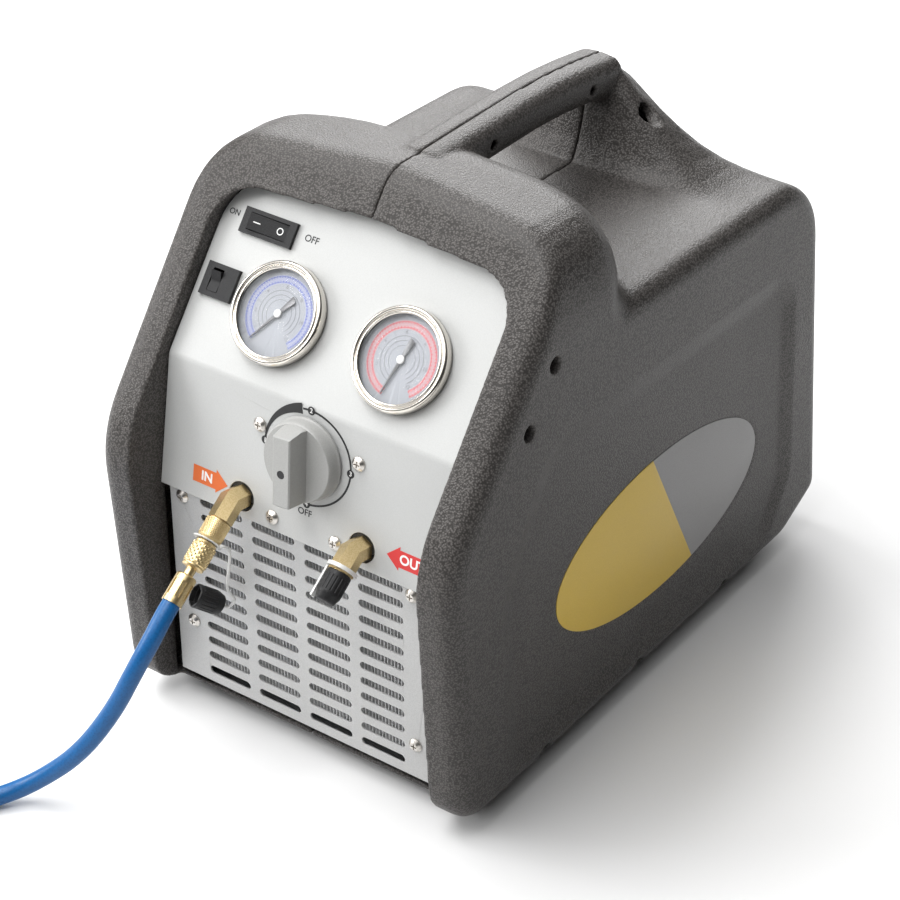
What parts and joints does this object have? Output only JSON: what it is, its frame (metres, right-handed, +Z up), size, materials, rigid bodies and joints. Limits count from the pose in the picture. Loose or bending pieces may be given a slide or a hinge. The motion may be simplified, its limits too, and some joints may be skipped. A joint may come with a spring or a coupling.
{
  "type": "refrigerant recovery machine",
  "caption": "Portable refrigerant recovery machine in a grey moulded case with a carry handle, gauges, selector knob, grille and a blue charging hose",
  "frame": {"origin": "middle of the machine's footprint on the floor, under its feet", "axes": "+X to the machine's right as its user sees it, -Y to the front with the gauges, +Z up"},
  "size_m": [0.4165, 0.645, 0.3495],
  "materials": {
    "case_plastic": "pebbled",
    "nickel": "polished",
    "steel": "satin",
    "rubber": "matte",
    "panel_paint": "satin",
    "black_plastic": "satin",
    "dial_paint": "matte",
    "glass": "polished",
    "knob_plastic": "satin",
    "brass": "satin",
    "clear_plastic": "glossy",
    "hose_rubber": "satin",
    "aluminium": "satin",
    "copper": "satin"
  },
  "bodies": {
    "machine": {"case_left": "case_plastic", "case_right": "case_plastic", "case_screws": "nickel", "foot_screws": "nickel", "panel_screws": "nickel", "rear_panel_screws": "nickel", "left_gauge_bezel": "nickel", "right_gauge_bezel": "nickel", "base_plate": "steel", "motor_body": "steel", "motor_cradle": "steel", "valve_manifold": "steel", "condenser_end_plates": "steel", "rubber_feet": "rubber", "upper_panel": "panel_paint", "grille_panel": "panel_paint", "rear_panel": "panel_paint", "power_inlet": "black_plastic", "power_switch_housing": "black_plastic", "breaker_housing": "black_plastic", "inlet_cap": "black_plastic", "fan_shroud": "black_plastic", "hose_tie": "black_plastic", "left_gauge_case": "black_plastic", "right_gauge_case": "black_plastic", "left_gauge_dial": "dial_paint", "right_gauge_dial": "dial_paint", "capacitor": "dial_paint", "left_gauge_lens": "glass", "right_gauge_lens": "glass", "inlet_elbow": "brass", "outlet_elbow": "brass", "hose_adapter": "brass", "hose_ferrule": "brass", "hose_end_fitting": "brass", "filter_drier": "brass", "outlet_tether": "clear_plastic", "inlet_tether": "clear_plastic", "hose_tube": "hose_rubber", "hose_coil": "hose_rubber", "condenser_fins": "aluminium", "crankcase": "aluminium", "compressor_cylinder": "aluminium", "cylinder_head": "aluminium", "condenser_tubes": "copper", "suction_pipe": "copper", "discharge_pipe": "copper", "outlet_pipe": "copper"},
    "power_rocker_body": {"power_rocker": "black_plastic"},
    "breaker_rocker_body": {"breaker_rocker": "black_plastic"},
    "selector": {"selector_knob": "knob_plastic", "selector_spindle": "steel"},
    "left_needle": {"left_gauge_needle": "steel"},
    "right_needle": {"right_gauge_needle": "steel"},
    "rotor": {"fan": "black_plastic", "motor_shaft": "steel"},
    "cap": {"outlet_cap": "black_plastic"},
    "coupler": {"hose_coupler": "brass"}
  },
  "joints": [
    {"name": "power_rocker_tilt", "type": "hinge", "parent": "machine", "child": "power_rocker_body", "pos_m": [-0.0664, -0.10486, 0.3025], "axis": [0, -0.6184, -0.7859], "range_deg": [0, 22]},
    {"name": "breaker_rocker_tilt", "type": "hinge", "parent": "machine", "child": "breaker_rocker_body", "pos_m": [-0.0866, -0.12836, 0.27263], "axis": [-1, 0, 0], "range_deg": [0, 22]},
    {"name": "selector_turn", "type": "hinge", "parent": "machine", "child": "selector", "pos_m": [0.002, -0.17213, 0.20784], "axis": [0, 0.9848, -0.1736], "range_deg": [0, 270]},
    {"name": "left_needle_turn", "type": "hinge", "parent": "machine", "child": "left_needle", "pos_m": [-0.0385, -0.13349, 0.27031], "axis": [0, 0.7859, -0.6184], "range_deg": [0, 285]},
    {"name": "right_needle_turn", "type": "hinge", "parent": "machine", "child": "right_needle", "pos_m": [0.046, -0.13318, 0.2707], "axis": [0, 0.7859, -0.6184], "range_deg": [0, 310]},
    {"name": "fan_spin", "type": "hinge", "parent": "machine", "child": "rotor", "pos_m": [0, -0.119, 0.092], "axis": [0, 1, 0], "continuous": true},
    {"name": "outlet_cap_slide", "type": "slide", "parent": "machine", "child": "cap", "axis": [0, -0.8192, -0.5736], "range_m": [0, 0.025]},
    {"name": "hose_coupler_turn", "type": "hinge", "parent": "machine", "child": "coupler", "pos_m": [-0.0415, -0.20676, 0.1482], "axis": [0, -0.8192, -0.5736], "continuous": true}
  ]
}
